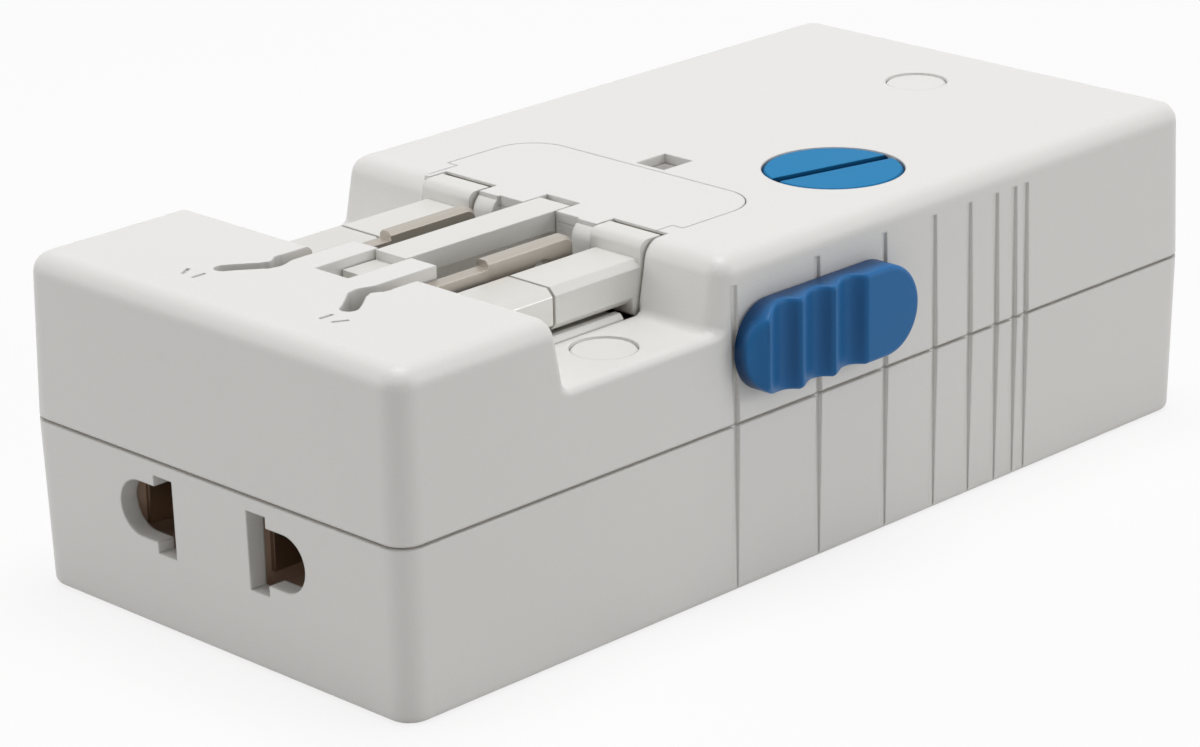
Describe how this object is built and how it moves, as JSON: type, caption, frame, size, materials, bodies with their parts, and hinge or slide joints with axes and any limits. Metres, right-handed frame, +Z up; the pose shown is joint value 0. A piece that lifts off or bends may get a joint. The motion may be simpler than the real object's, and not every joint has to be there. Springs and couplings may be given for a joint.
{
  "type": "usb travel adapter",
  "caption": "Oblong travel adapter with folding plug pins on top, a two-hole socket in one end, a USB outlet in the other, a side slider and a fuse cap.",
  "frame": {"origin": "on the plane of the underside, below the middle of the case (the slider knob is left out of that middle)", "axes": "+X along the length from the two-hole socket end to the USB end, +Z up from the underside to the plug face, the slider is on the -Y side"},
  "size_m": [0.1064, 0.0529, 0.032],
  "materials": {
    "case_white": "fine satin moulded, warm white",
    "pin_white": "smooth moulded, warm white",
    "slider_blue": "satin moulded, strong blue",
    "cap_blue": "satin moulded, strong blue",
    "plug_metal": "nickel plate",
    "blade_metal": "dull nickel plate",
    "axle_steel": "ground steel",
    "screw_steel": "zinc plated",
    "contact_brass": "rolled strip, dulled",
    "lens_smoke": "dark clear plastic",
    "led_clear": "tinted epoxy",
    "board_green": "solder mask over glass fibre board",
    "inner_white": "plain moulded",
    "inner_dark": "dark brown phenolic",
    "fuse_ceramic": "glazed ceramic",
    "ferrite": "fired ferrite",
    "coil_tape": "enamelled copper wire under clear tape",
    "capacitor_sleeve": "shrink sleeve over aluminium",
    "chip_black": "moulded epoxy",
    "usb_steel": "folded sheet, nickel plated",
    "usb_insulator": "moulded"
  },
  "bodies": {
    "case": {"lower_shell": "case_white", "upper_shell": "case_white", "hinge_cover": "case_white", "screw_covers": "case_white", "indicator_lens": "lens_smoke", "indicator_board": "board_green", "indicator_led": "led_clear", "case_screws": "screw_steel", "front_axle": "axle_steel", "rear_axles": "axle_steel", "fuse_body": "fuse_ceramic", "fuse_end_caps": "plug_metal", "fuse_holder": "inner_white", "fuse_bottom_contact": "contact_brass", "live_strip": "contact_brass", "fused_live_strip": "contact_brass", "neutral_strip": "contact_brass", "socket_block": "inner_dark", "live_socket_contact": "contact_brass", "neutral_socket_contact": "contact_brass", "charger_board": "board_green", "transformer_core": "ferrite", "transformer_winding": "coil_tape", "capacitors": "capacitor_sleeve", "controller_chip": "chip_black", "usb_shell": "usb_steel", "usb_tongue": "usb_insulator", "usb_contacts": "contact_brass"},
    "earth": {"earth_pin": "pin_white"},
    "live": {"live_pin": "plug_metal", "live_pin_sleeve": "pin_white"},
    "neutral": {"neutral_pin": "plug_metal", "neutral_pin_sleeve": "pin_white"},
    "live_flat": {"live_blade": "blade_metal", "live_blade_bushing": "contact_brass"},
    "neutral_flat": {"neutral_blade": "blade_metal", "neutral_blade_bushing": "contact_brass"},
    "slider": {"slider_knob": "slider_blue", "slider_carriage": "inner_white", "lock_bar": "inner_white"},
    "cap": {"fuse_cap": "cap_blue"}
  },
  "joints": [
    {"name": "earth_pin_fold", "type": "hinge", "parent": "case", "child": "earth", "pos_m": [-0.0356, -0.001, 0.0282], "axis": [0, -1, 0], "range_deg": [0, 90]},
    {"name": "live_pin_fold", "type": "hinge", "parent": "case", "child": "live", "pos_m": [-0.0132, -0.0121, 0.0283], "axis": [0, 1, 0], "range_deg": [0, 90]},
    {"name": "neutral_pin_fold", "type": "hinge", "parent": "case", "child": "neutral", "pos_m": [-0.0132, 0.0101, 0.0283], "axis": [0, 1, 0], "range_deg": [0, 90]},
    {"name": "live_blade_fold", "type": "hinge", "parent": "case", "child": "live_flat", "pos_m": [-0.0356, -0.00735, 0.0282], "axis": [0, -1, 0], "range_deg": [0, 90]},
    {"name": "neutral_blade_fold", "type": "hinge", "parent": "case", "child": "neutral_flat", "pos_m": [-0.0356, 0.00535, 0.0282], "axis": [0, -1, 0], "range_deg": [0, 90]},
    {"name": "slider_travel", "type": "slide", "parent": "case", "child": "slider", "axis": [1, 0, 0], "range_m": [0, 0.008]},
    {"name": "fuse_cap_turn", "type": "hinge", "parent": "case", "child": "cap", "pos_m": [0.0136, -0.0134, 0.032], "axis": [0, 0, 1], "range_deg": [0, 90]}
  ]
}
